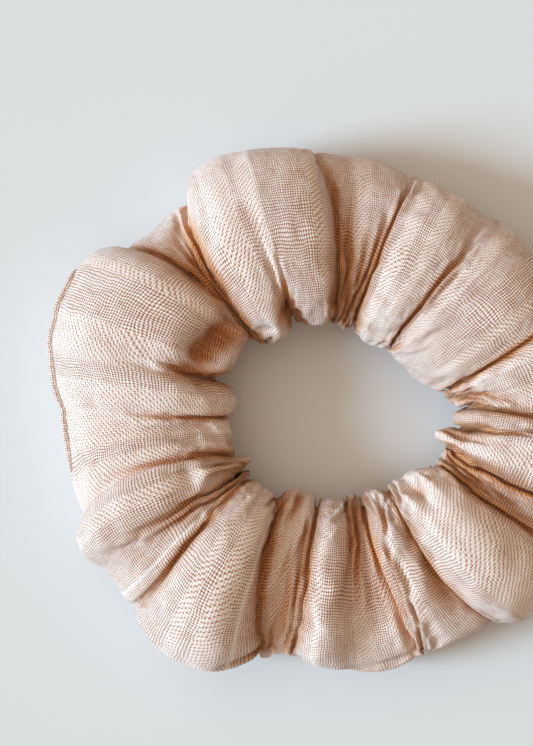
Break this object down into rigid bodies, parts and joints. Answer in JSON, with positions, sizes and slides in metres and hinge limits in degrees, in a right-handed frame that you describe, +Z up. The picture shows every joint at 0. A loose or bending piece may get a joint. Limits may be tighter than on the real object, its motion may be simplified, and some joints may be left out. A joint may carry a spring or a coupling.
{
  "type": "scrunchie",
  "caption": "Gathered cloth scrunchie: a sewn linen tube bunched on a flat braided elastic loop, which stretches open to take hair.",
  "frame": {"origin": "middle of the hole, on the surface that the ring lies on", "axes": "+Z up out of the hole; +X along the ring's longer width; the end seam is at about 257 degrees from +X"},
  "size_m": [0.123, 0.111, 0.022],
  "materials": {
    "cloth": "soft open linen weave with self stripes",
    "braid": "flat polyester braid, off-white",
    "rubber": "natural rubber strand, matte",
    "thread": "spun polyester sewing thread, matched to the cloth"
  },
  "bodies": {
    "seam_start": {"cover_0": "cloth", "braid_0": "braid", "rubber_strands_0": "rubber", "long_seam_needle_thread_0": "thread", "long_seam_bobbin_thread_0": "thread", "end_seam_needle_thread": "thread", "lap_needle_thread": "thread"},
    "section_1": {"cover_1": "cloth", "braid_1": "braid", "rubber_strands_1": "rubber", "long_seam_needle_thread_1": "thread", "long_seam_bobbin_thread_1": "thread"},
    "section_2": {"cover_2": "cloth", "braid_2": "braid", "rubber_strands_2": "rubber", "long_seam_needle_thread_2": "thread", "long_seam_bobbin_thread_2": "thread"},
    "section_3": {"cover_3": "cloth", "braid_3": "braid", "rubber_strands_3": "rubber", "long_seam_needle_thread_3": "thread", "long_seam_bobbin_thread_3": "thread"},
    "section_4": {"cover_4": "cloth", "braid_4": "braid", "rubber_strands_4": "rubber", "long_seam_needle_thread_4": "thread", "long_seam_bobbin_thread_4": "thread"},
    "section_5": {"cover_5": "cloth", "braid_5": "braid", "rubber_strands_5": "rubber", "long_seam_needle_thread_5": "thread", "long_seam_bobbin_thread_5": "thread"},
    "section_6": {"cover_6": "cloth", "braid_6": "braid", "rubber_strands_6": "rubber", "long_seam_needle_thread_6": "thread", "long_seam_bobbin_thread_6": "thread"},
    "section_7": {"cover_7": "cloth", "braid_7": "braid", "rubber_strands_7": "rubber", "long_seam_needle_thread_7": "thread", "long_seam_bobbin_thread_7": "thread"},
    "seam_end": {"cover_8": "cloth", "braid_8": "braid", "rubber_strands_8": "rubber", "long_seam_needle_thread_8": "thread", "long_seam_bobbin_thread_8": "thread", "end_seam_bobbin_thread": "thread", "lap_bobbin_thread": "thread"}
  },
  "joints": [
    {"name": "stretch_1", "type": "slide", "parent": "seam_start", "child": "section_1", "axis": [0.9863, 0.165, 0], "range_m": [0, 0.01913], "stiffness_N_per_m": 200},
    {"name": "stretch_2", "type": "slide", "parent": "section_1", "child": "section_2", "axis": [0.5807, 0.8141, 0], "range_m": [0, 0.01913], "stiffness_N_per_m": 200},
    {"name": "stretch_3", "type": "slide", "parent": "section_2", "child": "section_3", "axis": [-0.165, 0.9863, 0], "range_m": [0, 0.01913], "stiffness_N_per_m": 200},
    {"name": "stretch_4", "type": "slide", "parent": "section_3", "child": "section_4", "axis": [-0.8141, 0.5807, 0], "range_m": [0, 0.01913], "stiffness_N_per_m": 200},
    {"name": "stretch_5", "type": "slide", "parent": "section_4", "child": "section_5", "axis": [-0.9863, -0.165, 0], "range_m": [0, 0.01913], "stiffness_N_per_m": 200},
    {"name": "stretch_6", "type": "slide", "parent": "section_5", "child": "section_6", "axis": [-0.5807, -0.8141, 0], "range_m": [0, 0.01913], "stiffness_N_per_m": 200},
    {"name": "stretch_7", "type": "slide", "parent": "section_6", "child": "section_7", "axis": [0.165, -0.9863, 0], "range_m": [0, 0.01913], "stiffness_N_per_m": 200},
    {"name": "stretch_8", "type": "slide", "parent": "section_7", "child": "seam_end", "axis": [0.8141, -0.5807, 0], "range_m": [0, 0.01913], "stiffness_N_per_m": 200}
  ],
  "couplings": [
    {"joint": "stretch_2", "follows": "stretch_1", "ratio": 1},
    {"joint": "stretch_3", "follows": "stretch_1", "ratio": 1},
    {"joint": "stretch_4", "follows": "stretch_1", "ratio": 1},
    {"joint": "stretch_5", "follows": "stretch_1", "ratio": 1},
    {"joint": "stretch_6", "follows": "stretch_1", "ratio": 1},
    {"joint": "stretch_7", "follows": "stretch_1", "ratio": 1},
    {"joint": "stretch_8", "follows": "stretch_1", "ratio": 1}
  ]
}
